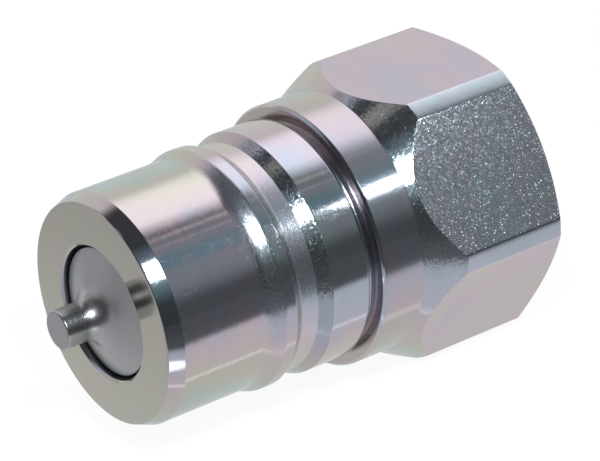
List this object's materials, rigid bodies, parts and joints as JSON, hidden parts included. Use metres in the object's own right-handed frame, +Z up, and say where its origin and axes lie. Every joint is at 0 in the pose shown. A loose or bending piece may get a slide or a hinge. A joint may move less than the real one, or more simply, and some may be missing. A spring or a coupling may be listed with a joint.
{
  "type": "quick-release coupling nipple (male half)",
  "caption": "Plated steel male half of a poppet quick-release fluid coupling: smooth probe, locking rim and ball groove, hexagon with female pipe thread, spring-loaded valve.",
  "frame": {"origin": "on the axis, in the plane of the nose face, where the two coupling halves meet", "axes": "+X along the axis from the nose towards the threaded port, +Z up, out of the upper hexagon flat, +Y towards a hexagon corner"},
  "size_m": [0.05, 0.0312, 0.028],
  "materials": {
    "plated_steel": "zinc plated, passivated, faint pastel iridescence",
    "turned_steel": "fine turned, satin",
    "black_rubber": "smooth, slightly oiled",
    "spring_steel": "drawn wire",
    "stamped_steel": "satin",
    "phosphated_steel": "dark phosphate"
  },
  "bodies": {
    "body": {"nipple_body": "plated_steel", "valve_guide": "stamped_steel", "retaining_ring": "phosphated_steel", "valve_spring": "spring_steel"},
    "valve": {"poppet": "turned_steel", "poppet_seal": "black_rubber"}
  },
  "joints": [
    {"name": "poppet_slide", "type": "slide", "parent": "body", "child": "valve", "axis": [1, 0, 0], "range_m": [0, 0.0055], "stiffness_N_per_m": 2400, "springref_m": -0.008, "deforming": ["valve_spring"]}
  ]
}
